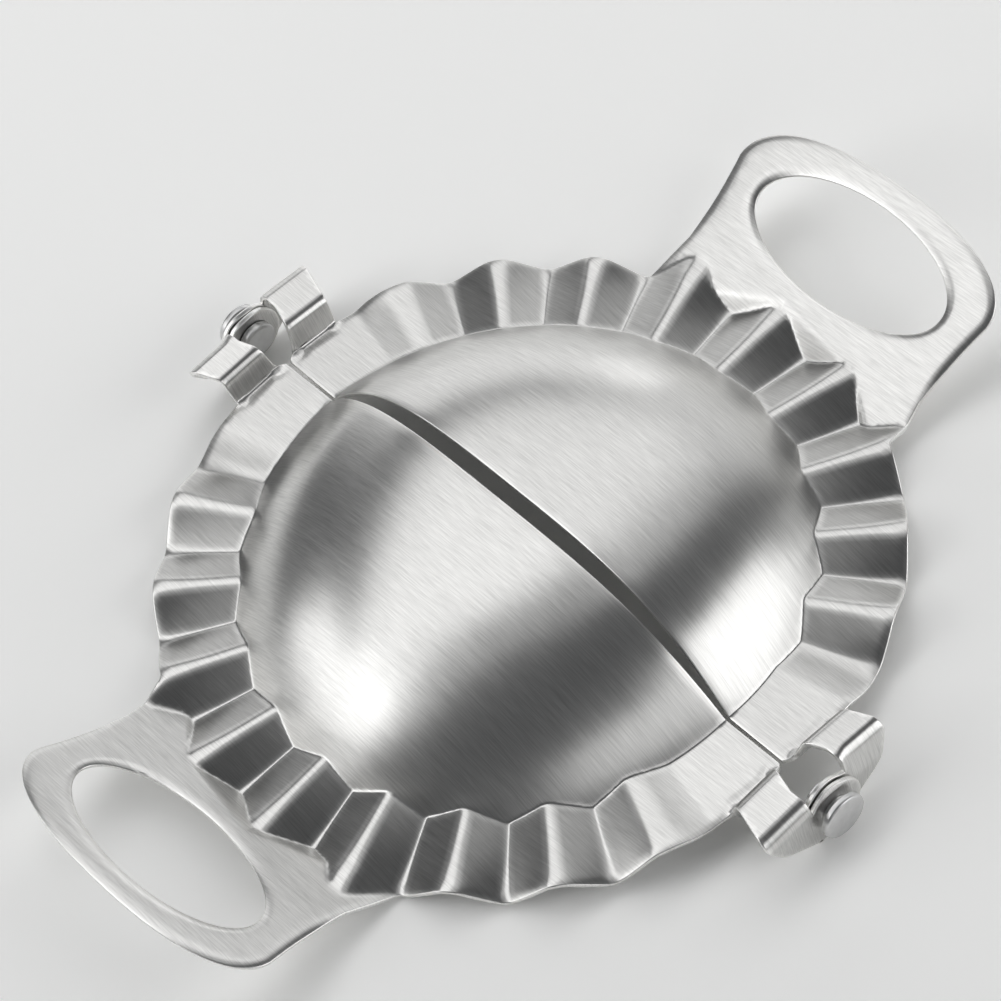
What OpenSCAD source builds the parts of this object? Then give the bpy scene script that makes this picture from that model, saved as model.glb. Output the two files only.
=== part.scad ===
// Hinged press for stuffed half-moon pastries, opened out and standing dome side up.
// Two identical stamped sheet-steel halves turn on two rivets. X runs along the hinge,
// Y from the front half to the rear half, Z up. The origin lies on the table, in the middle.

/* [Dome] */
// Radius of the dome where it meets the flange
dome_r = 40.4; // [38:0.1:42]
// Height of the dome above the flange, at mid thickness
dome_h = 15; // [12:0.5:19]
// Exponent of the dome's profile, higher for a flatter crown
dome_power = 3.4; // [2.6:0.1:4]

/* [Pleated flange] */
// Radius of the flange's outer edge
rim_r = 52.7; // [51.5:0.1:54]
// Angle of flat flange beside the hinge line, at each end of a half
flat_deg = 14; // [13:0.5:15]
// Pleat height, half of peak to valley, at the dome
pleat_in = 0.8; // [0.5:0.1:1]
// Pleat height, half of peak to valley, at the outer edge
pleat_out = 1.5; // [1:0.1:1.7]
// Thickness of the sheet
sheet_t = 0.8; // [0.6:0.1:0.9]
// Half of the cut between the two halves
half_cut = 0.2; // [0.15:0.05:0.3]

/* [Handle] */
// Distance inside the rim at which the handle's plane leaves the flange's plane
handle_inset = 3; // [2.2:0.1:4.2]
// Slope of the handle above the flange
handle_slope = 28.9; // [22:0.1:32]
// Length of the handle along its slope
handle_len = 28.5; // [27:0.1:31]
// Greatest half width of the handle
handle_half = 24.5; // [24:0.1:26]
// Half width of the handle's waist
waist_half = 23.1; // [22.5:0.1:23.5]
// Centre of the finger hole, along the slope
hole_v = 16.4; // [16:0.1:17]
// Half length of the finger hole
hole_a = 18; // [16:0.1:18.5]
// Half width of the finger hole
hole_b = 8.2; // [7:0.1:8.6]

/* [Hinge] */
// Distance of the hinge axis below the flange, at mid thickness
axis_drop = 0.6; // [0.6:0.05:0.8]
// Distance inside the rim of the foot of each ear, where the flange ends
ear_inset = 1.4; // [0.9:0.1:1.7]
// Distance from the foot of an ear to the outer face of the outermost lug
ear_reach = 9.3; // [8.9:0.1:10.2]
// Gap between two lugs that lie side by side
lug_gap = 0.35; // [0.3:0.05:0.5]
// How far the top of the inner lug's ear is set in from its lug
inner_set = 1.2; // [0.5:0.1:1.4]
// Radius of a lug about the hinge axis
lug_r = 4.8; // [4.6:0.1:5.2]
// Depth of a lug's foot below the hinge axis
lug_foot = 4.5; // [4.3:0.1:4.6]
// Height of an ear's top above the flange
ear_h = 4.9; // [4.5:0.1:5.5]
// Radius of a rivet's shank
shank_r = 1.9; // [1.5:0.1:2]
// Clearance of the shank in its bores
bore_gap = 0.05; // [0.02:0.01:0.1]
// Radius of a rivet's head
head_r = 3.5; // [3:0.1:3.8]
// Thickness of a rivet's head
head_t = 1.1; // [0.8:0.1:1.3]
// Length of the shoulder under a rivet's head
shoulder_t = 0.9; // [0.6:0.1:1.1]

/* [Hidden] */
$fn = 64;
mm = 1;

// Columns of the shell run from the hinge line at +X round to the hinge line at -X.
// Each pleat takes four columns, and the middle pleats end at the handle.
pleats = 9;
flat_steps = 3;
pleat_cols = 4 * pleats + 2;
cols = pleat_cols + 1 + 2 * flat_steps;
pitch = (180 - 2 * flat_deg) / (pleats + 0.5);
dome_rings = 10;
ring_spread = 1.5;
rim_ring = dome_rings + 1;
handle_from = flat_steps + 12;
handle_to = flat_steps + 26;

// The flange is a little narrower where it is flat, and ends at the ears and the handle
flat_inset = 0.6 * mm;
flat_rim_r = rim_r - flat_inset;
flange_end = rim_r - ear_inset;
lug_face = flange_end + ear_reach;
handle_y = rim_r - handle_inset;
// Ridges run a little way onto the handle, and valleys stop short of it
ridge_over = 1.8 * mm;
valley_short = 1.7 * mm;
ridge_tip_r = rim_r + ridge_over;
valley_end_r = rim_r - valley_short;

// The handle's outline: waist, widest line, and a rounded top
waist_v = 5 * mm;
wide_past_hole = 2.6 * mm;
wide_v = hole_v + wide_past_hole;
top_power = 2.3;
side_steps = 5;
top_steps = 24;
// Neck between the waist and the flange's edge
neck_flare = 0.8 * mm;
neck_half = waist_half + neck_flare;
neck_v = 0.5 * mm;
neck_rise = 1.3 * mm;
neck_drop = 0.5 * mm;

// Ear: a leaning wall, a top that rises outwards, and a flap. Its bends, and its edges
// as seen from above.
ear_t = 0.95 * sheet_t;
wall_lean = 1.7 * mm;
top_rise = 0.4 * mm;
wall_foot = flange_end + sheet_t / 8;
wall_top = flange_end + wall_lean;
wall_top_z = ear_h - top_rise;
bend_foot = 1.0 * mm;
bend_top = 1.2 * mm;
bend_flap = 1.7 * mm;
bend_steps = 6;
ear_root = flange_end - 2 * sheet_t;
overrun = 1 * mm;
ear_edge_foot = 0.9 * mm;
ear_edge_top = 2.3 * mm;
ear_edge_flap = 3.4 * mm;
ear_edge_run = 4 * mm;
ear_end_foot = 9.4 * mm;
ear_end_top = 9.7 * mm;
ear_end_flap = 11.6 * mm;
ear_end_face = 12.2 * mm;
// Flap: height of the knee above a set-in ear's lug, corner of the flap's foot,
// and the corners of its slanted lower edge
flap_knee_z = 0.5 * mm;
foot_y = 3.4 * mm;
foot_lap = 1 * mm;
flap_mid = [9.4 * mm, -0.9 * mm];
flap_end = [11.1 * mm, 2.4 * mm];
outer_flap = lug_face - ear_t / 2;
inner_flap = outer_flap - ear_t - lug_gap;

// Rivet, from its tail to its face
tail_r = 2.9 * mm;
tail_t = 1.1 * mm;
tail_gap = 0.15 * mm;
shoulder_r = 2.4 * mm;
head_edge = 0.25 * mm;
face_x = lug_face + shoulder_t + head_t;
tail_x = inner_flap - ear_t / 2 - tail_gap;

// Standing pose: the lugs' feet and the lowest pleats touch the table together
low_y = valley_end_r * sin(flat_deg + 4.5 * pitch) + half_cut;
low_z = axis_drop - pleat_out - sheet_t / 2;
droop = atan((low_z + lug_foot) / (low_y - foot_y));
axis_z = foot_y * sin(droop) + lug_foot * cos(droop);

steel = [0.78, 0.78, 0.77];
rivet_steel = [0.7, 0.7, 0.69];

function polar(r, a, z) = [r * cos(a), r * sin(a), z];

// Shell, at mid thickness. Its columns: angle, pleat wave and radius at the dome's foot.
function col_angle(k) =
    k < flat_steps ? flat_deg * k / flat_steps :
    k >= cols - flat_steps ? 180 - flat_deg * (cols - 1 - k) / flat_steps :
    flat_deg + (k - flat_steps) * pitch / 4;

function wave(k) =
    let (i = k - flat_steps)
    i <= 0 || i >= pleat_cols ? 0 :
    i == 1 ? -0.5 :
    i == pleat_cols - 1 ? 0.5 :
    cos(90 * i);

function foot_r(k) = dome_r * pow(1 - pleat_in * wave(k) / dome_h, 1 / dome_power);
function dome_z(r) = dome_h * (1 - pow(r / dome_r, dome_power));
function dome_tilt(r) = atan(dome_h * dome_power * pow(r / dome_r, dome_power - 1) / dome_r);

function plate(u, v) =
    [u, handle_y + v * cos(handle_slope), v * sin(handle_slope)];
function ridge_tip(a) =
    let (p = polar(ridge_tip_r, a, 0))
    [p[0], p[1], max((p[1] - handle_y) * tan(handle_slope), pleat_out)];
function plate_v(p) = (p[1] - handle_y) / cos(handle_slope);

function rim_point(k) =
    let (a = col_angle(k), w = wave(k),
        edge_r = k <= flat_steps || k >= cols - 1 - flat_steps ? flat_rim_r : rim_r)
    k <= handle_from || k >= handle_to
        ? polar(min(edge_r, flange_end / max(abs(cos(a)), 0.5)), a, pleat_out * w) :
    w > 0.5 ? ridge_tip(a) :
    w < -0.5 ? polar(valley_end_r, a, -pleat_out) :
    (rim_point(k - 1) + rim_point(k + 1)) / 2;

// Half the sheet's thickness, square to the dome and upright elsewhere
function dome_half_t(a, tilt, size) =
    size / 2 * [sin(tilt) * cos(a), sin(tilt) * sin(a), cos(tilt)];
plate_half_t = [0, 0, sheet_t / 2 / cos(handle_slope)];
flange_half_t = [0, 0, sheet_t / 2];

// Rows of the shell: the dome's rings, closer together near its foot, and the flange's edge
function ring_r(j, k) =
    j == dome_rings ? foot_r(k) : dome_r * (1 - pow(1 - j / dome_rings, ring_spread));
shell_rows = [for (j = [1:rim_ring]) for (k = [0:cols - 1])
    let (a = col_angle(k), r = ring_r(min(j, dome_rings), k))
    j == rim_ring ? rim_point(k) : polar(r, a, dome_z(r))];
shell_half_t = [for (j = [1:rim_ring]) for (k = [0:cols - 1])
    let (a = col_angle(k), tilt = dome_tilt(ring_r(min(j, dome_rings), k)))
    j == rim_ring ? (k > handle_from && k < handle_to && wave(k) > -0.5 ?
        plate_half_t : flange_half_t) :
    j == dome_rings ? dome_half_t(a, tilt / 2, sheet_t / cos(tilt / 2)) :
    dome_half_t(a, tilt, sheet_t)];
function at(j, k) = 1 + (j - 1) * cols + k;
first_extra = 1 + rim_ring * cols;

// Handle: middles of the lines between ridge tips, neck corners, then its edge and its hole
ridge_mids = [for (k = [handle_from:4:handle_to - 6]) (rim_point(k) + rim_point(k + 4)) / 2];
neck = [
    [neck_half, handle_y + neck_v, neck_rise],
    [-neck_half, handle_y + neck_v, -neck_drop],
];
function side_half(v) =
    waist_half + (handle_half - waist_half) * pow((v - waist_v) / (wide_v - waist_v), 2);
side_v = [for (i = [0:side_steps]) waist_v + (wide_v - waist_v) * i / side_steps];
edge_uv = concat(
    [for (v = side_v) [side_half(v), v]],
    [for (i = [1:top_steps - 1]) let (a = 180 * i / top_steps)
        [handle_half * sign(cos(a)) * pow(abs(cos(a)), 2 / top_power),
         wide_v + (handle_len - wide_v) * pow(sin(a), 2 / top_power)]],
    [for (i = [side_steps:-1:0]) [-side_half(side_v[i]), side_v[i]]]);
edge_count = len(edge_uv);

// Loop round the finger hole, on the plate: the handle's edge, then the ridge tips
function uv_of(p) = [p[0], plate_v(p)];
loop_uv = concat(edge_uv, [
    uv_of(rim_point(handle_to - 2)),
    uv_of(ridge_mids[2]),
    uv_of(rim_point(handle_to - 6)),
    uv_of(ridge_mids[1]),
    uv_of(rim_point(handle_to - 10)),
]);
loop_count = len(loop_uv);
hole_pts = [for (q = loop_uv)
    let (a = atan2((q[1] - hole_v) / hole_b, q[0] / hole_a))
    plate(hole_a * cos(a), hole_v + hole_b * sin(a))];

mid_at = first_extra;
neck_at = mid_at + len(ridge_mids);
edge_at = neck_at + len(neck);
hole_at = edge_at + edge_count;
loop_at = concat([for (i = [0:edge_count - 1]) edge_at + i], [
    at(rim_ring, handle_to - 2),
    mid_at + 2,
    at(rim_ring, handle_to - 6),
    mid_at + 1,
    at(rim_ring, handle_to - 10),
]);

mid_pts = concat([[0, 0, dome_h]], shell_rows, ridge_mids, neck,
    [for (q = edge_uv) plate(q[0], q[1])], hole_pts);
half_ts = concat([flange_half_t], shell_half_t,
    [for (i = [first_extra:len(mid_pts) - 1]) plate_half_t]);

// Triangles of the upper side, all turned the same way
crown_faces = [for (k = [0:cols - 2]) [0, at(1, k + 1), at(1, k)]];
ring_faces = [for (j = [1:dome_rings]) for (k = [0:cols - 2]) each [
    [at(j, k), at(j, k + 1), at(j + 1, k + 1)],
    [at(j, k), at(j + 1, k + 1), at(j + 1, k)],
]];
valley_faces = [for (i = [0:2])
    let (k = handle_from + 4 * i)
    for (c = [k:k + 3]) [mid_at + i, at(rim_ring, c), at(rim_ring, c + 1)]];
right_waist = edge_at;
left_waist = edge_at + edge_count - 1;
neck_faces = [
    [right_waist, neck_at, at(rim_ring, handle_from)],
    [right_waist, at(rim_ring, handle_from), mid_at],
    [right_waist, mid_at, at(rim_ring, handle_from + 4)],
    [left_waist, at(rim_ring, handle_to - 2), at(rim_ring, handle_to - 1)],
    [left_waist, at(rim_ring, handle_to - 1), at(rim_ring, handle_to)],
    [left_waist, at(rim_ring, handle_to), neck_at + 1],
];
plate_faces = [for (i = [0:loop_count - 1])
    let (n = (i + 1) % loop_count)
    each [
        [loop_at[i], hole_at + i, hole_at + n],
        [loop_at[i], hole_at + n, loop_at[n]],
    ]];
top_faces = concat(crown_faces, ring_faces, valley_faces, neck_faces, plate_faces);

// Edges of the sheet: once round the outside, and once round the finger hole
outside = concat(
    [for (j = [1:rim_ring]) at(j, 0)],
    [for (k = [1:handle_from]) at(rim_ring, k)],
    [neck_at],
    [for (i = [0:edge_count - 1]) edge_at + i],
    [neck_at + 1],
    [for (k = [handle_to:cols - 1]) at(rim_ring, k)],
    [for (j = [dome_rings:-1:1]) at(j, cols - 1)],
    [0]);
inside = [for (i = [loop_count - 1:-1:0]) hole_at + i];

function rim_faces(loop, n) = [for (i = [0:len(loop) - 1])
    let (a = loop[i], b = loop[(i + 1) % len(loop)])
    each [[a, b, b + n], [a, b + n, a + n]]];

module shell() {
    n = len(mid_pts);
    points = concat(mid_pts + half_ts, mid_pts - half_ts);
    under_faces = [for (f = top_faces) [f[0] + n, f[2] + n, f[1] + n]];
    translate([0, half_cut, 0])
        polyhedron(points, concat(top_faces, under_faces,
            rim_faces(outside, n), rim_faces(inside, n)));
}

// Bent strip: one side of a rounded path, at the distance s to its left
function unit(v) = v / norm(v);
function left_of(v) = [-v[1], v[0]];
function turned(v, a) = [v[0] * cos(a) - v[1] * sin(a), v[0] * sin(a) + v[1] * cos(a)];
function corner(a, b, c, r, s) =
    let (d = unit(b - a), e = unit(c - b), turn = sign(cross(d, e)), half = acos(d * e) / 2,
        centre = b - d * r * tan(half) + left_of(d) * turn * r)
    [for (i = [0:bend_steps])
        centre + turned(-left_of(d) * turn, turn * 2 * half * i / bend_steps) * (r - turn * s)];
function strip_side(flap, set, s) =
    let (a = [ear_root, 0], b = [wall_foot, 0], c = [wall_top, wall_top_z],
        d = [flap - set, ear_h], e = [flap, flap_knee_z], f = [flap, -lug_r - 2 * axis_drop])
    concat([a + [0, s]], corner(a, b, c, bend_foot, s), corner(b, c, d, bend_top, s),
        corner(c, d, e, bend_flap, s), set > 0 ? corner(d, e, f, bend_flap, s) : [],
        [f + [s, 0]]);

module strip(flap, set) {
    lower = strip_side(flap, set, -ear_t / 2);
    translate([0, ear_end_flap + lug_r, 0])
        rotate([90, 0, 0])
            linear_extrude(ear_end_flap + lug_r)
                polygon(concat(strip_side(flap, set, ear_t / 2),
                    [for (i = [len(lower) - 1:-1:0]) lower[i]]));
}

// Outline of an ear from above
module ear_plan() {
    translate([0, 0, -2 * lug_r])
        linear_extrude(4 * lug_r)
            polygon([
                [ear_root, ear_edge_foot],
                [flange_end, ear_edge_foot],
                [wall_top, ear_edge_top],
                [wall_top + ear_edge_run, ear_edge_flap],
                [lug_face + overrun, ear_edge_flap],
                [lug_face + overrun, ear_end_face],
                [wall_top, ear_end_top],
                [flange_end, ear_end_foot],
                [ear_root, ear_end_foot],
            ]);
}

// Outline of the flap along the hinge axis, above its slanted lower edge
module flap_outline() {
    polygon([
        [0, -axis_drop - lug_foot],
        [foot_y, -axis_drop - lug_foot],
        flap_mid,
        flap_end,
        [ear_end_flap, ear_h - bend_top],
        [ear_end_flap + overrun, ear_h + ear_t],
        [0, ear_h + ear_t],
    ]);
}

// Flat lug in its own plane, with the bit of flap that carries it. Its foot is cut so
// that it lies flat on the table in the standing pose.
module lug_outline() {
    difference() {
        union() {
            translate([0, -axis_drop])
                circle(lug_r);
            polygon([
                [0, -axis_drop - lug_r],
                [foot_y, -axis_drop - lug_foot],
                [foot_y + foot_lap, -axis_drop - lug_foot + foot_lap],
                [foot_y + foot_lap, -flap_knee_z],
                [ear_edge_flap, -flap_knee_z],
                [ear_edge_flap, lug_r - axis_drop],
                [0, lug_r - axis_drop],
            ]);
        }
        translate([foot_y, -axis_drop - lug_foot])
            rotate(droop)
                translate([-2 * lug_r, -lug_r])
                    square([4 * lug_r, lug_r]);
    }
}

module along_x(from, length) {
    translate([from, 0, 0])
        rotate([90, 0, 90])
            linear_extrude(length)
                children();
}

module ear(flap, set) {
    intersection() {
        strip(flap, set);
        ear_plan();
        along_x(ear_root, lug_face)
            flap_outline();
    }
    along_x(flap - ear_t / 2, ear_t)
        lug_outline();
}

// One stamped half, hinge axis at the origin, spread along +Y.
// The ear at -X carries the outer lug and the ear at +X the inner one.
module stamped_half() {
    difference() {
        translate([0, 0, axis_drop])
            union() {
                shell();
                ear(inner_flap, inner_set);
                mirror([1, 0, 0])
                    ear(outer_flap, 0);
            }
        for (side = [0, 1])
            mirror([side, 0, 0])
                translate([tail_x, 0, 0])
                    rotate([0, 90, 0])
                        cylinder(r = shank_r + bore_gap, h = face_x - tail_x);
    }
}

// A half in the standing pose, turned about the upright axis
module standing_half(turn) {
    translate([0, 0, axis_z])
        rotate([0, 0, turn])
            rotate([-droop, 0, 0])
                stamped_half();
}

// Shoulder rivet on the hinge axis, head outwards along +X
module rivet() {
    translate([0, 0, axis_z])
        rotate([0, 90, 0])
            rotate_extrude()
                polygon([
                    [0, tail_x - tail_t],
                    [tail_r - 2 * head_edge, tail_x - tail_t],
                    [tail_r, tail_x - tail_t + 2 * head_edge],
                    [tail_r, tail_x],
                    [shank_r, tail_x],
                    [shank_r, lug_face],
                    [shoulder_r, lug_face],
                    [shoulder_r, lug_face + shoulder_t],
                    [head_r, lug_face + shoulder_t],
                    [head_r, face_x - head_edge],
                    [head_r - head_edge, face_x],
                    [0, face_x],
                ]);
}

module front_half() {
    color(steel)
        standing_half(180);
}

module rear_half() {
    color(steel)
        standing_half(0);
}

module near_rivet() {
    color(rivet_steel)
        rivet();
}

module far_rivet() {
    color(rivet_steel)
        rotate([0, 0, 180])
            rivet();
}

front_half();
rear_half();
near_rivet();
far_rivet();
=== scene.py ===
import math

import bpy
import numpy as np
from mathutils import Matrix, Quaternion, Vector
from mathutils.geometry import delaunay_2d_cdt


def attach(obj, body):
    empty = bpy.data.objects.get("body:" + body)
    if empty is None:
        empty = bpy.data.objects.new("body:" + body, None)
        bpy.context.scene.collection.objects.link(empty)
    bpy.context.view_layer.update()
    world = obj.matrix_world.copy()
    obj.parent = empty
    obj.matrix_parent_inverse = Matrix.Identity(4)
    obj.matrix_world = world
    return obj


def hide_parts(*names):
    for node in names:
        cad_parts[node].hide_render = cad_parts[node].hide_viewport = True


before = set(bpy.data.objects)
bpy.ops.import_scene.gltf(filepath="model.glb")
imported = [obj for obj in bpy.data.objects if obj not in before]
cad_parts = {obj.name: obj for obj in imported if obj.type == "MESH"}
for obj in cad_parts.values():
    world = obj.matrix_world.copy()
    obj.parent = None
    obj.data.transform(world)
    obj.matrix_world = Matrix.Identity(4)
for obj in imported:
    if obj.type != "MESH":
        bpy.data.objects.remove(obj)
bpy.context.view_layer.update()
# The scene is in metres, and the sizes of the press are in mm
mm = 0.001

# The view of the press: a long lens from the near right corner, a little more than halfway up,
# with the camera rolled so that the hinge line runs from the upper left to the lower right.
camera_place = Vector((289.5, -161.4, 470.1)) * mm
camera_aim = Vector((-9.4, 4.1, 5.0)) * mm
camera_roll = math.radians(-16.67)
camera_data = bpy.data.cameras.new("studio_camera")
camera_data.lens = 148.76
camera_data.sensor_width = 36
camera_data.clip_start = 0.05
camera_data.clip_end = 20


def in_scene(name, data):
    made = bpy.data.objects.new(name, data)
    bpy.context.collection.objects.link(made)
    return made


def aim(thing, place, direction, roll=0.0):
    """Puts a camera or a lamp in its place, facing along a direction."""
    thing.location = place
    thing.rotation_mode = "QUATERNION"
    level = Vector(direction).to_track_quat("-Z", "Y")
    thing.rotation_quaternion = level @ Quaternion((0, 0, 1), roll)


camera = in_scene("studio_camera", camera_data)
aim(camera, camera_place, camera_aim - camera_place, camera_roll)
bpy.context.scene.camera = camera
bpy.context.scene.view_settings.view_transform = "Standard"

# The table top: a smooth pale board, painted matt, much larger than the press that stands on it.
# The camera and the steel see it as pale as its paint, and it still takes the press's shadow.
table_half = 4
table_colour = (0.90, 0.90, 0.89, 1)
table_seen_gain = 1.42


def add_node(tree, kind, inputs=(), **settings):
    """Adds a node to a tree. An input given as a socket is linked, and any other is set."""
    made = tree.nodes.new(kind)
    for key, value in settings.items():
        setattr(made, key, value)
    for key, value in dict(inputs).items():
        if isinstance(value, bpy.types.NodeSocket):
            tree.links.new(value, made.inputs[key])
        else:
            made.inputs[key].default_value = value
    return made


table_mesh = bpy.data.meshes.new("table_top")
table_corners = [(x * table_half, y * table_half, 0) for x, y in ((-1, -1), (1, -1), (1, 1), (-1, 1))]
table_mesh.from_pydata(table_corners, [], [(0, 1, 2, 3)])
table_top = in_scene("table_top", table_mesh)
matt_paint = bpy.data.materials.new("matt_table_paint")
matt_paint.use_nodes = True
board = matt_paint.node_tree
paint = board.nodes["Principled BSDF"]
paint.inputs["Roughness"].default_value = 0.8
paint.inputs["Specular IOR Level"].default_value = 0.2
rays = add_node(board, "ShaderNodeLightPath").outputs
seen = add_node(
    board, "ShaderNodeMath", {0: rays["Is Camera Ray"], 1: rays["Is Glossy Ray"]}, operation="MAXIMUM"
)
paler = tuple(table_seen_gain * level for level in table_colour[:3]) + (1,)
paint_tone = add_node(
    board, "ShaderNodeMix", {"Factor": seen.outputs[0], 6: table_colour, 7: paler}, data_type="RGBA"
)
board.links.new(paint_tone.outputs[2], paint.inputs["Base Color"])
table_mesh.materials.append(matt_paint)

# The light: nine cloth panels of a light tent that is open towards the camera. Four strips hang
# overhead, two panels stand at the right, and one each at the left, the back and the front left.
# Their places were chosen so that the steel shows the bands of the real one.
room = bpy.data.worlds.new("dim_studio")
room.use_nodes = True
room.node_tree.nodes["Background"].inputs["Color"].default_value = (0.09, 0.092, 0.095, 1)
room.node_tree.nodes["Background"].inputs["Strength"].default_value = 1
bpy.context.scene.world = room
down, to_left, to_right, to_front = (0, 0, -1), (-1, 0, 0), (1, 0, 0), (0, -1, 0)


def tent_panel(name, middle, facing, width, height, brightness):
    """A cloth panel that glows evenly; its brightness is what a mirror would show."""
    lamp = bpy.data.lights.new(name, "AREA")
    lamp.shape = "RECTANGLE"
    lamp.size = width
    lamp.size_y = height
    lamp.energy = brightness * math.pi * width * height
    aim(in_scene(name, lamp), middle, facing)


tent_panel("overhead_front_strip", (-0.56, -0.92, 1.0), down, 0.56, 2.4, 1.27)
tent_panel("overhead_rear_strip", (-0.66, 1.28, 1.0), down, 0.82, 2.0, 1.02)
tent_panel("overhead_edge", (-0.08, 1.0, 1.0), down, 0.30, 1.9, 0.48)
tent_panel("overhead_near_edge", (-0.14, -0.98, 1.0), down, 0.20, 1.8, 0.38)
tent_panel("right_panel", (1.0, 1.58, 0.60), to_left, 2.6, 1.0, 1.75)
tent_panel("near_right_panel", (1.0, -0.35, 0.6), to_left, 1.0, 0.42, 0.80)
tent_panel("left_panel", (-1.5, 1.36, 0.47), to_right, 2.2, 0.94, 0.95)
tent_panel("back_panel", (-0.85, 1.9, 0.35), to_front, 1.5, 0.7, 0.75)
tent_panel("front_left_panel", (-0.80, -1.12, 0.55), (0.75, 1.12, -0.3), 1.15, 0.75, 1.6)

# Each half is one stamping in 0.8 mm stainless sheet: blanked flat with its handle, its finger
# hole and two tabs, drawn to the half dome and pleated flange in one stroke, and then the
# tabs are folded up, out and down to make the ears. The cut edges are tumbled smooth.
sheet = 0.8
dome_radius = 40.4
dome_height = 15.0
dome_power = 3.4
rim_radius = 52.7
flat_rim_radius = 52.1
flat_rim_end = 12.0
flat_rim_ease = 6.0
pleat_pitch = 16.0
first_valley = 22.0
last_ridge = 158.0
pleat_at_dome = 0.8
pleat_at_rim = 1.5
handle_line = 49.7
handle_slope = math.radians(28.9)
handle_length = 28.4
handle_half = 24.45
waist_half = 23.1
waist_along = 5.0
widest_along = 19.0
tip_power = 2.3
hole_along = 16.4
hole_half_length = 18.0
hole_half_width = 8.2
cut_gap = 0.2
hinge_drop = 0.6
hinge_height = 4.7176
droop = math.radians(3.840)

# Folds of an ear, as seen along the hinge: root, foot, top of the wall, flap, foot of the lug
ear_path = [(49.7, 0.0), (51.4, 0.0), (53.0, 4.5), (60.2, 4.9), (60.2, -9.0)]
ear_bends = [0.0, 1.0, 1.4, 1.7, 0.0]
inner_shift = 1.09
inner_lean = 1.2
lug_radius = 4.8
bore_radius = 1.95


def fold(before, at, after):
    """The angle by which a path turns at one of its corners."""
    return (Vector(at) - Vector(before)).angle(Vector(after) - Vector(at))


def length_to_flap(path, radii):
    """Length along the rounded path to where its last bend ends."""
    run = 0.0
    back = 0.0
    for before, at, after, radius in zip(path, path[1:], path[2:], radii[1:]):
        turn = fold(before, at, after)
        setback = radius * math.tan(turn / 2)
        run += (Vector(at) - Vector(before)).length - back - setback
        run += radius * turn
        back = setback
    return run


# On the flap, the distance out along the blank and the height above the flange add up to this
flap_sum = length_to_flap(ear_path, ear_bends) + ear_path[0][0] + ear_path[3][1]
flap_sum -= ear_bends[3] * math.tan(fold(*ear_path[2:]) / 2)
lug_centre = flap_sum + hinge_drop


def polar(radius, degrees):
    """The point at a distance from the dome's middle, in a direction from the hinge line."""
    turn = math.radians(degrees)
    return Vector((radius * math.cos(turn), radius * math.sin(turn)))


def steps(start, gap, count):
    """Evenly spaced places, the first of them at the start."""
    return [start + gap * i for i in range(count)]


def rim_at(degrees):
    """Radius of the blank's edge, a little less beside the ears, where the flange stays flat."""
    from_flat = min(degrees, 180 - degrees) - flat_rim_end
    ease = min(1.0, max(0.0, from_flat / flat_rim_ease))
    return flat_rim_radius + (rim_radius - flat_rim_radius) * ease * ease * (3 - 2 * ease)


def half_width(along):
    """Half the handle's width, which grows from its waist."""
    share = (along - waist_along) / (widest_along - waist_along)
    return waist_half + (handle_half - waist_half) * share ** 2


def divided(points, gap):
    """The same broken line with a point about every gap."""
    line = []
    for one, two in zip(points, points[1:]):
        parts = max(1, round((two - one).length / gap))
        line += [one.lerp(two, i / parts) for i in range(parts)]
    return line


arc_gap = 0.3


def rounded(points, radii):
    """A broken line with its inner corners turned into arcs."""
    line = [points[0]]
    for before, at, after, radius in zip(points, points[1:], points[2:], radii):
        one = (before - at).normalized()
        two = (after - at).normalized()
        half = one.angle(two) / 2
        if radius * (math.pi - 2 * half) < arc_gap:
            line.append(at)
            continue
        reach = radius / math.tan(half)
        centre = at + (one + two).normalized() * radius / math.sin(half)
        start = at + one * reach - centre
        swing = start.angle_signed(at + two * reach - centre)
        parts = max(3, round(abs(swing) * radius / arc_gap))
        for i in range(parts + 1):
            turn = -swing * i / parts
            line.append(centre + Vector((
                start.x * math.cos(turn) - start.y * math.sin(turn),
                start.x * math.sin(turn) + start.y * math.cos(turn),
            )))
    line.append(points[-1])
    return line


# Plan of the handle as it lies in the blank, from its right waist round its tip to its left waist
side_parts = 14
tip_parts = 96
side = [waist_along + (widest_along - waist_along) * i / side_parts for i in range(side_parts + 1)]
handle_edge = [(half_width(v), v) for v in side]
for i in range(1, tip_parts):
    turn = math.pi * i / tip_parts
    handle_edge.append((
        handle_half * math.copysign(abs(math.cos(turn)) ** (2 / tip_power), math.cos(turn)),
        widest_along + (handle_length - widest_along) * math.sin(turn) ** (2 / tip_power),
    ))
handle_edge += [(-half_width(v), v) for v in reversed(side)]
handle_edge = [Vector((u, handle_line + v * math.cos(handle_slope))) for u, v in handle_edge]

# Edge of the right tab, from the hinge line out to the lug, round it and back to the rim
tab_edge = rounded(
    [Vector(p) for p in [
        (48.5, 0.0), (50.9, 0.0), (51.8, 1.5), (55.9, 2.3), (59.8, 3.4), (flap_sum - 3.1, 3.4),
    ]],
    [0.8, 1.5, 3.0, 3.0],
)
tab_edge += [
    Vector((lug_centre - math.cos(t) * lug_radius, math.sin(t) * lug_radius))
    for t in [math.radians(a) for a in steps(44, -3, 71)]
]
tab_edge += rounded(
    [Vector(p) for p in [
        (lug_centre + 4.72, -0.87), (lug_centre + 4.5, 3.4), (flap_sum + 0.9, 9.4), (flap_sum - 2.4, 11.1),
        (flap_sum - 3.7, 11.6), (61.22, 11.27), (55.9, 9.7), (51.27, 9.3),
    ]],
    [0.8, 6.0, 3.0, 1.5, 4.0, 6.0],
)

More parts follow.
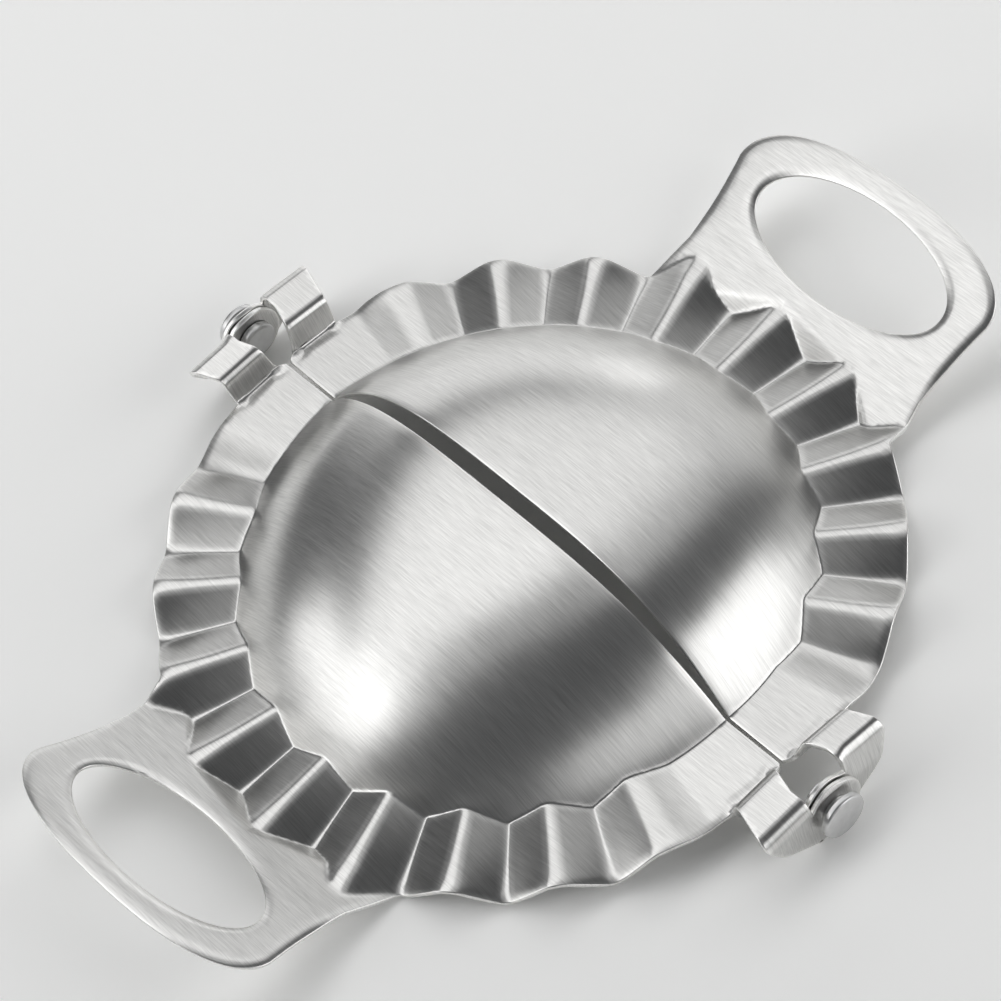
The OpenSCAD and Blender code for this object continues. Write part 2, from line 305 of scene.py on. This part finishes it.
# Columns of the flange, close together at the creases, and rows, close together at the dome's foot
crease_steps = [0, 0.25, 0.5, 0.8, 1.2, 1.8, 2.6, 3.3]
crease_count = 19
columns = steps(0, 1.3, 10)[1:]
columns += [12.6, 13.3, 13.7, 14.0, 14.3, 14.7, 15.3, 16.2, 17.4, 18.6, 19.6]
for i in range(crease_count):
    crease = first_valley + i * pleat_pitch / 2
    columns += [crease + s for s in crease_steps] + [crease - s for s in crease_steps[1:]]
    columns += [crease + pleat_pitch / 4] if i < crease_count - 1 else []
last_column = last_ridge + 0.9
columns = [a for a in columns if a < last_column] + [180 - a for a in columns if a < 180 - last_column]
columns = sorted(set(round(a, 3) for a in columns if 0 < a < 180))
dome_rows = steps(0, 0.9, 43)[1:]
flange_rows = steps(38.6, 0.3, 12) + steps(42.2, 0.55, 20)
handle_rows = steps(49.3, 0.35, 22)

# The blank's outline, counterclockwise from the left end of the hinge edge
rim_from, rim_to = 11.0, 60.0
hinge_edge_end = 48.4
outline_gap = 0.8
rim_right = [polar(rim_at(a), a) for a in columns if rim_from < a < rim_to]
rim_left = [polar(rim_at(a), a) for a in columns if 180 - rim_to < a < 180 - rim_from]
neck_right = rounded(
    [rim_right[-1], polar(rim_radius, 62.3), Vector((23.8, 50.6)), handle_edge[0]], [1.2, 6.0]
)
neck_left = rounded(
    [handle_edge[-1], Vector((-23.8, 50.6)), polar(rim_radius, 117.7), rim_left[0]], [6.0, 1.2]
)
hinge_rows = dome_rows + [r for r in flange_rows if r < hinge_edge_end]
hinge_edge = [Vector((x, 0)) for x in sorted([side * r for r in hinge_rows for side in (-1, 1)] + [0])]
outline = hinge_edge + tab_edge + rim_right + neck_right[1:-1] + handle_edge + neck_left[1:-1] + rim_left
outline += [Vector((-p.x, p.y)) for p in reversed(tab_edge)]
outline = divided(outline + outline[:1], outline_gap)
hole_parts = 120
finger_hole = []
for i in range(hole_parts):
    turn = 2 * math.pi * i / hole_parts
    finger_hole.append(Vector((
        hole_half_length * math.cos(turn),
        handle_line + (hole_along + hole_half_width * math.sin(turn)) * math.cos(handle_slope),
    )))
bore_parts = 32
bores = [
    [Vector((side * (lug_centre + bore_radius * math.cos(t)), bore_radius * math.sin(t)))
     for t in [2 * math.pi * i / bore_parts for i in range(bore_parts)]]
    for side in (-1, 1)
]

# Points of the blank between its edges: evenly spread on the dome, then on the flange's columns,
# with closer rows at the handle's foot, and in a honeycomb on the handle
dome_gap, even_dome = 1.1, 36
handle_from, handle_to, handle_begins = 58, 122, 49.2
plate_from, plate_gap, plate_row_gap, plate_clear = 51.6, 1.15, 1.0, 57.4
plate_columns, plate_rows = 43, 26
spots = [Vector((0, 2.0))]
for r in dome_rows:
    parts = max(4, round(math.pi * r / dome_gap))
    if r < even_dome:
        spots += [polar(r, 180 * (i + 0.5) / parts) for i in range(parts)]
    else:
        spots += [polar(r, a) for a in columns[::2]]
for r in flange_rows:
    spots += [polar(r, a) for a in columns if r < handle_begins or not handle_from < a < handle_to]
for r in handle_rows:
    spots += [polar(r, a) for a in columns if handle_from < a < handle_to]
for i in range(plate_columns):
    for j in range(plate_rows):
        place = i - plate_columns // 2 + 0.5 * (j % 2)
        spot = Vector((place * plate_gap, plate_from + j * plate_row_gap))
        if spot.length > plate_clear:
            spots.append(spot)
# Across a tab's folds, only straight rows along each fold
tab_begins, tab_ends = 50.45, 10.2
spots = [p for p in spots if abs(p.x) < tab_begins or p.y > tab_ends]
fold_rows = steps(50.69, 0.205, 7) + steps(52.5, 0.55, 5) + steps(55.2, 0.2, 8) + steps(57.2, 0.6, 7)
fold_rows += steps(61.22, 0.23, 13) + steps(64.5, 0.6, 13)
for x in fold_rows:
    for y in steps(-4.5, 0.6, 27):
        spots += [Vector((side * x, y)) for side in (-1, 1)]


def to_edges(spots, loops):
    """Which spots lie inside the first loop and outside the others, and how far each is from an edge."""
    at = np.array([tuple(p) for p in spots])
    inside = np.zeros(len(at), bool)
    away = np.full(len(at), 1e9)
    for loop in loops:
        one = np.array([tuple(p) for p in loop])
        two = np.roll(one, -1, axis=0)
        for a, b in zip(one, two):
            along = np.clip(((at - a) @ (b - a)) / max((b - a) @ (b - a), 1e-12), 0, 1)
            away = np.minimum(away, np.hypot(*(at - a - along[:, None] * (b - a)).T))
            if a[1] != b[1]:
                cross = (a[1] > at[:, 1]) != (b[1] > at[:, 1])
                inside ^= cross & (at[:, 0] < a[0] + (at[:, 1] - a[1]) * (b[0] - a[0]) / (b[1] - a[1]))
    return inside, away


def inner_row(loop, inset):
    """The loop's points moved to its left, square to its edge."""
    row = []
    for before, at, after in zip(loop[-1:] + loop[:-1], loop, loop[1:] + loop[:1]):
        course = ((at - before).normalized() + (after - at).normalized()).normalized()
        row.append(at + Vector((-course.y, course.x)) * inset)
    return row


# Three rows of points follow each edge but the tabs', so that the edge's roll can be pressed
edge_insets = (0.4, 0.8, 1.25)
row_ends = 50.6
spot_apart, spots_nearby = 0.3, 400
clear_of_edge = 1.55
clear_on_tab = 0.45
tab_from, tab_reach = 51.6, 14
loops = [outline, finger_hole] + bores
inside, away = to_edges(spots, loops)
spots = [
    p for p, keep, gap in zip(spots, inside, away)
    if keep and gap > (clear_on_tab if abs(p.x) > tab_from and p.y < tab_reach else clear_of_edge)
]
edge_spots = []
for inset in edge_insets:
    row = inner_row(outline, inset) + inner_row(finger_hole, -inset)
    row = [p for p in row if abs(p.x) < row_ends or p.y > tab_reach]
    inside, away = to_edges(row, loops)
    # A point that comes too near to another edge or to another point of the rows is left out
    for p, keep, gap in zip(row, inside, away):
        lonely = all((p - q).length > spot_apart for q in edge_spots[-spots_nearby:])
        if keep and gap > inset * 0.95 and lonely:
            edge_spots.append(p)
spots += edge_spots
edges = []
for loop in loops:
    first = len(edges)
    edges += [(first + i, first + (i + 1) % len(loop)) for i in range(len(loop))]
edge_points = [p for loop in loops for p in loop]
net = delaunay_2d_cdt(edge_points + spots, edges, [], 0, 1e-5, False)
flat_points, triangles = net[0], net[2]
middles = [(flat_points[a] + flat_points[b] + flat_points[c]) / 3 for a, b, c in triangles]
# Three points in line along a straight edge can make a triangle with no area, which is left out
least_area = 1e-4
triangles = [
    (a, b, c) for (a, b, c), keep in zip(triangles, to_edges(middles, loops)[0])
    if keep and (flat_points[b] - flat_points[a]).cross(flat_points[c] - flat_points[a]) > least_area
]

# Each point of the blank knows how far it belongs to a tab and how far it lies from the cut edges
flange_only, tab_only = 49.8, 51.35
root_from, root_to, root_blend = 0.7, 9.3, 0.8


def tab_share(p):
    """1 where the blank is folded as a tab, 0 where it is pressed as the flange."""
    if abs(p.x) > tab_only:
        return 1.0
    if abs(p.x) < flange_only or p.y > tab_reach:
        return 0.0
    beside = max(root_from - p.y, p.y - root_to, 0)
    return max(0.0, 1 - beside / root_blend)


blank = bpy.data.meshes.new("sheet_blank")
blank.from_pydata([(p.x, p.y, 0) for p in flat_points], [], triangles)
for label, values in (
    ("tab", [tab_share(p) for p in flat_points]),
    ("edge_gap", to_edges(flat_points, loops)[1]),
    ("outer_gap", to_edges(flat_points, [outline])[1]),
):
    blank.attributes.new(label, "FLOAT", "POINT").data.foreach_set("value", values)
grain_scale = 0.01
grain = blank.uv_layers.new(name="grain")
for loop in blank.loops:
    grain.data[loop.index].uv = flat_points[loop.vertex_index] * grain_scale


class Tree:
    """A node tree that works on a mesh, with a named input for each size."""

    def __init__(self, name, sizes):
        self.group = bpy.data.node_groups.new(name, "GeometryNodeTree")
        sockets = self.group.interface
        sockets.new_socket("Geometry", in_out="INPUT", socket_type="NodeSocketGeometry")
        sockets.new_socket("Geometry", in_out="OUTPUT", socket_type="NodeSocketGeometry")
        for label, value in sizes.items():
            socket = sockets.new_socket(label, in_out="INPUT", socket_type="NodeSocketFloat")
            socket.default_value = value
        sockets.new_socket("Metal", in_out="INPUT", socket_type="NodeSocketMaterial")
        self.identifiers = {s.name: s.identifier for s in sockets.items_tree if s.in_out == "INPUT"}
        self.start = self.group.nodes.new("NodeGroupInput")
        self.end = self.group.nodes.new("NodeGroupOutput")

    def node(self, kind, inputs=(), **settings):
        return add_node(self.group, kind, inputs, **settings)

    def size(self, label):
        return self.start.outputs[label]

    def calc(self, operation, *values):
        return self.node("ShaderNodeMath", dict(enumerate(values)), operation=operation).outputs[0]

    def plus(self, one, two):
        return self.calc("ADD", one, two)

    def minus(self, one, two):
        return self.calc("SUBTRACT", one, two)

    def times(self, one, two):
        return self.calc("MULTIPLY", one, two)

    def over(self, one, two):
        return self.calc("DIVIDE", one, two)

    def ramp(self, value, low, high, kind="LINEAR"):
        """0 at low, 1 at high, and level beyond them."""
        sockets = {"Value": value, "From Min": low, "From Max": high}
        return self.node("ShaderNodeMapRange", sockets, interpolation_type=kind).outputs[0]

    def vector(self, x=0.0, y=0.0, z=0.0):
        return self.node("ShaderNodeCombineXYZ", {0: x, 1: y, 2: z}).outputs[0]

    def split(self, vector):
        return self.node("ShaderNodeSeparateXYZ", {0: vector}).outputs

    def read(self, label):
        return self.node("GeometryNodeInputNamedAttribute", {"Name": label}, data_type="FLOAT").outputs[0]

    def mark(self, mesh, label, value):
        sockets = {"Geometry": mesh, "Name": label, "Value": value}
        marked = self.node(
            "GeometryNodeStoreNamedAttribute", sockets, data_type="FLOAT", domain="POINT"
        )
        return marked.outputs[0]

    def bent_wire(self, corners, radii, parts):
        """A line through the corners, each of which is bent round its own radius."""
        line = self.node("GeometryNodeMeshLine", {"Count": len(corners)}).outputs[0]
        wire = self.node("GeometryNodeMeshToCurve", {0: line}).outputs[0]
        corner = self.node("GeometryNodeIndexSwitch", data_type="VECTOR")
        bend = self.node("GeometryNodeIndexSwitch", data_type="FLOAT")
        order = self.node("GeometryNodeInputIndex").outputs[0]
        for switch, values in ((corner, corners), (bend, radii)):
            while len(switch.index_switch_items) < len(corners):
                switch.index_switch_items.new()
            self.group.links.new(order, switch.inputs["Index"])
            for i, value in enumerate(values):
                switch.inputs[i + 1].default_value = value
        sockets = {"Geometry": wire, "Position": corner.outputs[0]}
        wire = self.node("GeometryNodeSetPosition", sockets).outputs[0]
        sockets = {"Curve": wire, "Count": parts, "Radius": bend.outputs[0], "Limit Radius": False}
        return self.node("GeometryNodeFilletCurve", sockets, mode="POLY").outputs[0]

    def close(self, mesh):
        """Ends the tree: turned, lifted to the hinge, in metres, smooth, and with its metal on."""
        spin = self.vector(z=self.size("Turn"))
        lift = self.vector(z=self.size("Hinge height"))
        sockets = {"Geometry": mesh, "Rotation": spin, "Translation": lift}
        mesh = self.node("GeometryNodeTransform", sockets).outputs[0]
        mesh = self.node("GeometryNodeTransform", {"Geometry": mesh, "Scale": (mm, mm, mm)}).outputs[0]
        mesh = self.node("GeometryNodeSetShadeSmooth", {"Geometry": mesh}).outputs[0]
        mesh = self.node("GeometryNodeRealizeInstances", {"Geometry": mesh}).outputs[0]
        sockets = {"Geometry": mesh, "Material": self.size("Metal")}
        mesh = self.node("GeometryNodeSetMaterial", sockets).outputs[0]
        self.group.links.new(mesh, self.end.inputs[0])

    def put_on(self, piece, metal, turn):
        """Gives the piece this tree's work, turned about the upright axis."""
        work = piece.modifiers.new(self.group.name, "NODES")
        work.node_group = self.group
        work[self.identifiers["Metal"]] = metal
        work[self.identifiers["Turn"]] = turn


press = Tree("press_and_fold", {
    "Dome radius": dome_radius, "Dome height": dome_height, "Dome power": dome_power,
    "Dome foot fillet": 0.45, "Pleat pitch": pleat_pitch, "First valley": first_valley,
    "Last ridge": last_ridge, "Pleat at dome": pleat_at_dome, "Pleat at rim": pleat_at_rim,
    "Pleat run-out": 0.35, "Crease sharpness": 0.998, "Crease gain": 1.08, "Crease lift": 0.05,
    "Ridge roundness": 0.26, "Valley roundness": 0.10, "Rim softness": 0.14, "Rim softness power": 6.0,
    "Rim radius": rim_radius, "Edge roll": 0.13, "Edge roll width": 1.25, "Handle edge roll": 0.28,
    "Palm roll": 0.08, "Palm roll width": 6.0, "Handle line": handle_line,
    "Handle rise": math.tan(handle_slope), "Handle fillet": 0.45, "Valley end": 51.0, "Valley wall": 1.3,
    "Inner shift": inner_shift, "Inner lean": inner_lean, "Cut gap": cut_gap, "Hinge drop": hinge_drop,
    "Droop": -droop, "Turn": 0.0, "Hinge height": hinge_height,
})
across, along, _ = press.split(press.node("GeometryNodeInputPosition").outputs[0])
radius = press.calc("SQRT", press.plus(press.times(across, across), press.times(along, along)))
bearing = press.calc("DEGREES", press.calc("ARCTAN2", along, across))

# Pleats: a wave round the flange, half as steep in the first and last half pleat, then flat
quarter = press.over(press.size("Pleat pitch"), 4.0)
early = press.calc("MAXIMUM", press.minus(press.size("First valley"), bearing), 0.0)
late = press.calc("MAXIMUM", press.minus(bearing, press.size("Last ridge")), 0.0)
stretched = press.calc("MULTIPLY_ADD", press.minus(early, late), 0.5, bearing)
flat_before = press.minus(press.size("First valley"), quarter)
flat_after = press.plus(press.size("Last ridge"), quarter)
stretched = press.calc("SMOOTH_MAX", stretched, flat_before, press.size("Pleat run-out"))
stretched = press.calc("SMOOTH_MIN", stretched, flat_after, press.size("Pleat run-out"))
turns = press.over(press.minus(stretched, press.size("Last ridge")), press.size("Pleat pitch"))
swing = press.calc("COSINE", press.times(turns, 2 * math.pi))
growth = press.ramp(radius, press.size("Dome radius"), press.size("Rim radius"))
softness = press.calc("POWER", growth, press.size("Rim softness power"))
sharp = press.minus(press.size("Crease sharpness"), press.times(softness, press.size("Rim softness")))
wave = press.over(press.calc("ARCSINE", press.times(swing, sharp)), press.calc("ARCSINE", sharp))
wave = press.calc("MULTIPLY_ADD", wave, press.size("Crease gain"), press.size("Crease lift"))
wave = press.calc("SMOOTH_MIN", wave, 1.0, press.size("Ridge roundness"))
wave = press.calc("SMOOTH_MAX", wave, -1.0, press.size("Valley roundness"))
deepening = press.minus(press.size("Pleat at rim"), press.size("Pleat at dome"))
depth = press.calc("MULTIPLY_ADD", growth, deepening, press.size("Pleat at dome"))
flange_z = press.times(wave, depth)

# Dome: a flat-topped profile that meets the flange at a crisp foot
share = press.calc("POWER", press.over(radius, press.size("Dome radius")), press.size("Dome power"))
dome_z = press.times(press.minus(1.0, share), press.size("Dome height"))
body_z = press.calc("SMOOTH_MAX", dome_z, flange_z, press.size("Dome foot fillet"))

# Handle: a plane that rises out of the flange, and a short steep wall at each valley's end
plate_z = press.times(press.minus(along, press.size("Handle line")), press.size("Handle rise"))
almost_one = 0.99999
off_valley = press.times(
    press.calc("ARCCOSINE", press.times(swing, -almost_one)), press.over(press.size("Pleat pitch"), 360.0)
)
reach = press.times(radius, press.calc("COSINE", off_valley))
wall_z = press.times(press.minus(reach, press.size("Valley end")), press.size("Valley wall"))
wall_z = press.minus(wall_z, press.size("Pleat at rim"))
plate_z = press.calc("SMOOTH_MIN", plate_z, wall_z, press.size("Handle fillet"))
pressed_z = press.calc("SMOOTH_MAX", body_z, plate_z, press.size("Handle fillet"))

# Cut edges roll down a little, where the blanking punch pulled the sheet, and more on the handle
edge_gap = press.read("edge_gap")
near_edge = press.minus(1.0, press.ramp(edge_gap, 0.0, press.size("Edge roll width")))
handle_starts = (54.0, 60.0)
on_handle = press.ramp(along, *handle_starts, "SMOOTHSTEP")
roll = press.calc("MULTIPLY_ADD", on_handle, press.size("Handle edge roll"), press.size("Edge roll"))
pressed_z = press.minus(pressed_z, press.times(press.times(near_edge, near_edge), roll))

# The handle's outer border curves down gently, which makes it kind to the palm
border = press.minus(1.0, press.ramp(press.read("outer_gap"), 0.0, press.size("Palm roll width")))
border = press.times(press.times(border, border), press.size("Palm roll"))
pressed_z = press.minus(pressed_z, press.times(border, on_handle))

# Painted shade: the middles of the pleats' flats are painted darker, for the dark reflections that such
# flats show; creases, foot and rim stay bright
crease_fade, foot_fade, rim_fade, plate_fade = (0.66, 0.90), (0.7, 1.9), (0.25, 0.9), (0.1, 0.7)
last_pleat_fade = (8.5, 4.0)
on_flat = press.minus(1.0, press.ramp(press.calc("ABSOLUTE", wave), *crease_fade, "SMOOTHSTEP"))
off_foot = press.ramp(press.minus(flange_z, dome_z), *foot_fade, "SMOOTHSTEP")
off_rim = press.ramp(edge_gap, *rim_fade, "SMOOTHSTEP")
off_plate = press.ramp(press.minus(flange_z, plate_z), *plate_fade, "SMOOTHSTEP")
in_pleats = press.ramp(press.plus(early, late), *last_pleat_fade)
painted_facet_shade = press.times(
    press.times(on_flat, off_foot), press.times(press.times(off_rim, off_plate), in_pleats)
)
# Painted highlight: a strip along every cut edge is painted lighter, for the bright line that the edges show
edge_highlight_width = 0.35
painted_edge_highlight = press.minus(1.0, press.ramp(edge_gap, 0.0, edge_highlight_width))

# Ears: the tabs follow one bent path; the inner ear's is shorter and its flap leans
flap_foot = 0.5
lean_starts = (2.0, 5.4)
cut_gap_fade = (52.0, 56.0)
track = press.bent_wire([(x, 0, z) for x, z in ear_path], ear_bends, parts=24)
length = press.minus(press.calc("ABSOLUTE", across), ear_path[0][0])
follow = press.node("GeometryNodeSampleCurve", {"Curves": track, "Length": length}, mode="LENGTH")
folded_x, _, folded_z = press.split(follow.outputs["Position"])
over_top = press.ramp(folded_x, ear_path[2][0], ear_path[3][0])
up_flap = press.ramp(folded_z, flap_foot, ear_path[3][1])
past_lug = press.ramp(along, *lean_starts, "SMOOTHSTEP")
lean = press.times(press.times(up_flap, past_lug), press.size("Inner lean"))
shift = press.times(over_top, press.plus(lean, press.size("Inner shift")))
inner = press.calc("GREATER_THAN", across, 0.0)
folded_x = press.times(press.minus(folded_x, press.times(shift, inner)), press.calc("SIGN", across))
far_out = press.ramp(press.calc("ABSOLUTE", across), *cut_gap_fade, "SMOOTHSTEP")
settled_y = press.calc("MULTIPLY_ADD", press.minus(1.0, far_out), press.size("Cut gap"), along)
mixed = press.node("ShaderNodeMix", {
    "Factor": press.read("tab"), 4: press.vector(across, settled_y, pressed_z),
    5: press.vector(folded_x, settled_y, folded_z),
}, data_type="VECTOR")
# The painted shade of the pleats' flats is stored on the points for the steel's colour
formed = press.mark(press.start.outputs[0], "painted_facet_shade", painted_facet_shade)
# The painted highlight along the cut edges is stored on the points too
formed = press.mark(formed, "painted_edge_highlight", painted_edge_highlight)
formed = press.node("GeometryNodeSetPosition", {"Geometry": formed, "Position": mixed.outputs[1]}).outputs[0]
drop = press.vector(z=press.size("Hinge drop"))
formed = press.node("GeometryNodeTransform", {"Geometry": formed, "Translation": drop}).outputs[0]
tilt = press.vector(press.size("Droop"))
formed = press.node("GeometryNodeTransform", {"Geometry": formed, "Rotation": tilt}).outputs[0]
press.close(formed)


class Metal:
    """A bare metal and the nodes of its finish."""

    def __init__(self, name):
        self.material = bpy.data.materials.new(name)
        self.material.use_nodes = True
        self.tree = self.material.node_tree
        self.shine = self.tree.nodes["Principled BSDF"]
        self.shine.inputs["Metallic"].default_value = 1.0

    def node(self, kind, inputs=(), **settings):
        return add_node(self.tree, kind, inputs, **settings)

    def show(self, label, value):
        self.tree.links.new(value, self.shine.inputs[label])

    def calc(self, operation, one, two):
        return self.node("ShaderNodeMath", {0: one, 1: two}, operation=operation).outputs[0]

    def spread(self, value, low, high, out_low, out_high):
        """Stretches a value's range from low and high to out_low and out_high."""
        sockets = {"Value": value, "From Min": low, "From Max": high, "To Min": out_low, "To Max": out_high}
        return self.node("ShaderNodeMapRange", sockets).outputs[0]

    def relief(self, height, depth):
        """Slight ups and downs of the face; the depth is in mm."""
        sockets = {"Height": height, "Strength": 0.2, "Distance": depth * mm}
        self.show("Normal", self.node("ShaderNodeBump", sockets).outputs[0])


# The steel: a dull brushed face whose scratches run along the hinge, made before the sheet was
# stamped, so they follow the sheet over the dome and round the folds. Fine scratches give the
# grain, longer ones the soft streaks, and the wide blotches are where fingers have been.
fine_low, fine_high = 0.25, 0.75
fine_contrast = 0.09
dark_streak, bright_streak = 0.65, 0.71
# How much darker the painted shade leaves the middles of the pleats' flats
facet_shade_share = 0.74
# How much lighter the painted highlight makes the cut edges
edge_highlight_gain = 0.24
smooth_streak, rough_streak = 0.285, 0.31
finger_dulling = 0.02
streak_depth = 0.03
warm_white = (("Red", 1.0), ("Green", 0.995), ("Blue", 0.975))
usual_low, usual_high = 0.3, 0.7

steel = Metal("brushed_stainless")
steel.shine.inputs["Anisotropic"].default_value = 0.6
steel.shine.inputs["Anisotropic Rotation"].default_value = 0.25
steel.show("Tangent", steel.node("ShaderNodeTangent", direction_type="UV_MAP", uv_map="grain").outputs[0])
sheet_place = steel.node("ShaderNodeUVMap", uv_map="grain").outputs[0]


def scratches(long, wide, detail):
    """Noise drawn out along the grain; long and wide are the size of one scratch in mm."""
    scale = (1 / grain_scale / long, 1 / grain_scale / wide, 1)
    drawn = steel.node("ShaderNodeMapping", {"Vector": sheet_place, "Scale": scale}).outputs[0]
    sockets = {"Vector": drawn, "Scale": 1.0, "Detail": detail, "Roughness": 0.6}
    return steel.node("ShaderNodeTexNoise", sockets, noise_dimensions="2D").outputs["Fac"]


fine = scratches(4, 0.16, 2)
streak = scratches(22, 0.6, 3)
blotch = scratches(9, 6, 3)
grey = steel.calc(
    "ADD", steel.spread(fine, fine_low, fine_high, -fine_contrast, fine_contrast),
    steel.spread(streak, usual_low, usual_high, dark_streak, bright_streak),
)
# Painted shade: the middles of the pleats' flats are darkened
facet_shade_mask = steel.node("ShaderNodeAttribute", attribute_name="painted_facet_shade").outputs["Fac"]
grey = steel.calc("MULTIPLY", grey, steel.spread(facet_shade_mask, 0, 1, 1.0, facet_shade_share))
# Painted highlight: the cut edges are lightened
edge_highlight_mask = steel.node("ShaderNodeAttribute", attribute_name="painted_edge_highlight").outputs["Fac"]
grey = steel.calc("ADD", grey, steel.spread(edge_highlight_mask, 0, 1, 0, edge_highlight_gain))
tints = {channel: steel.calc("MULTIPLY", grey, level) for channel, level in warm_white}
steel.show("Base Color", steel.node("ShaderNodeCombineColor", tints).outputs[0])
steel.show("Roughness", steel.calc(
    "ADD", steel.spread(streak, usual_low, usual_high, smooth_streak, rough_streak),
    steel.spread(blotch, usual_low, usual_high, 0.0, finger_dulling),
))
steel.relief(streak, streak_depth)


def settle(piece):
    """Turns the piece's modifiers into its plain mesh."""
    graph = bpy.context.evaluated_depsgraph_get()
    made = bpy.data.meshes.new_from_object(
        piece.evaluated_get(graph), preserve_all_data_layers=True, depsgraph=graph
    )
    piece.modifiers.clear()
    piece.data = made
    made.name = piece.name


edge_rounding = 0.22
for body, turn in (("front", math.pi), ("rear", 0.0)):
    half = in_scene(body + "_stamping", blank.copy())
    press.put_on(half, steel.material, turn)
    wall = half.modifiers.new("sheet", "SOLIDIFY")
    wall.thickness = sheet * mm
    wall.offset = 0
    wall.use_even_offset = True
    edge = half.modifiers.new("tumbled_edges", "BEVEL")
    edge.width = edge_rounding * mm
    edge.segments = 2
    edge.limit_method = "ANGLE"
    edge.angle_limit = math.radians(60)
    edge.use_clamp_overlap = False
    edge.harden_normals = True
    settle(half)
    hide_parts(body + "_half")
    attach(half, body)

# The rivets: turned in soft stainless rod, with a round head and a shoulder that holds the head
# off the outer lug. The tail is hammered over on the inner lug, which closes the hinge for good.
# The profile goes from the middle of the tail to the middle of the head: place on the axis, radius.
rivet_profile = [
    (57.33, 0.0), (57.33, 2.4), (57.52, 2.9), (58.58, 2.9), (58.58, 1.9), (60.6, 1.9), (60.6, 2.4),
    (61.5, 2.4), (61.5, 3.5), (62.6, 3.5), (62.6, 0.0),
]
rivet_fillets = [0.0, 0.35, 0.2, 0.12, 0.05, 0.05, 0.12, 0.05, 0.16, 0.42, 0.0]
rivet_sides = 72

lathe = Tree("turn_on_lathe", {"Hinge height": hinge_height, "Turn": 0.0})
cutter = lathe.bent_wire([(x, r, 0) for x, r in rivet_profile], rivet_fillets, parts=5)
stations = lathe.node("GeometryNodeCurveToPoints", {"Curve": cutter}, mode="EVALUATED").outputs[0]
count = lathe.node("GeometryNodeAttributeDomainSize", {0: stations}, component="POINTCLOUD")
rows = count.outputs["Point Count"]
sockets = {"Vertices X": rivet_sides + 1, "Vertices Y": rows}
skin = lathe.node("GeometryNodeMeshGrid", sockets).outputs[0]
order = lathe.node("GeometryNodeInputIndex").outputs[0]
row = lathe.calc("FLOORED_MODULO", order, rows)
# A quarter keeps the quotient off a whole number, where a rounding error would lose a side
side = lathe.calc("FLOOR", lathe.over(lathe.plus(order, 0.25), rows))
station = lathe.node("GeometryNodeSampleIndex", {
    0: stations, "Value": lathe.node("GeometryNodeInputPosition").outputs[0], "Index": row,
}, data_type="FLOAT_VECTOR", domain="POINT")
cut_x, cut_radius, _ = lathe.split(station.outputs[0])
swung = lathe.times(side, 2 * math.pi / rivet_sides)
turned = lathe.vector(
    cut_x, lathe.times(cut_radius, lathe.calc("COSINE", swung)),
    lathe.times(cut_radius, lathe.calc("SINE", swung)),
)
skin = lathe.node("GeometryNodeSetPosition", {"Geometry": skin, "Position": turned}).outputs[0]
skin = lathe.node("GeometryNodeMergeByDistance", {"Geometry": skin, "Distance": 0.001}).outputs[0]
lathe.close(skin)

# Turned faces carry the tool's rings about the axis, and are worn in patches
rings_per_mm, patches_per_mm = 9, 0.8
worn_grey, bare_grey = 0.62, 0.70
smooth_ring, rough_ring = 0.29, 0.37
ring_depth = 0.02
turned_steel = Metal("turned_stainless")
object_place = turned_steel.node("ShaderNodeTexCoord").outputs["Object"]
from_axis = turned_steel.node(
    "ShaderNodeVectorMath", {0: object_place, 1: (0, 0, hinge_height * mm)}, operation="SUBTRACT"
).outputs[0]
outwards = turned_steel.node("ShaderNodeVectorMath", {0: from_axis, 1: (0, 1, 1)}, operation="MULTIPLY")
out_from_axis = turned_steel.node("ShaderNodeVectorMath", {0: outwards.outputs[0]}, operation="LENGTH")
tool_marks = turned_steel.node("ShaderNodeTexNoise", {
    "W": out_from_axis.outputs["Value"], "Scale": rings_per_mm / mm, "Detail": 3,
}, noise_dimensions="1D").outputs["Fac"]
wear = turned_steel.node("ShaderNodeTexNoise", {
    "Vector": from_axis, "Scale": patches_per_mm / mm, "Detail": 4,
}).outputs["Fac"]
turned_grey = turned_steel.spread(wear, usual_low, usual_high, worn_grey, bare_grey)
turned_gloss = turned_steel.spread(tool_marks, usual_low, usual_high, smooth_ring, rough_ring)
turned_steel.show("Base Color", turned_grey)
turned_steel.show("Roughness", turned_gloss)
turned_steel.relief(tool_marks, ring_depth)

for name, body, turn in (("near_rivet", "front", 0.0), ("far_rivet", "rear", math.pi)):
    rivet = in_scene(name + "_turned", bpy.data.meshes.new(name + "_turned"))
    lathe.put_on(rivet, turned_steel.material, turn)
    settle(rivet)
    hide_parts(name)
    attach(rivet, body)
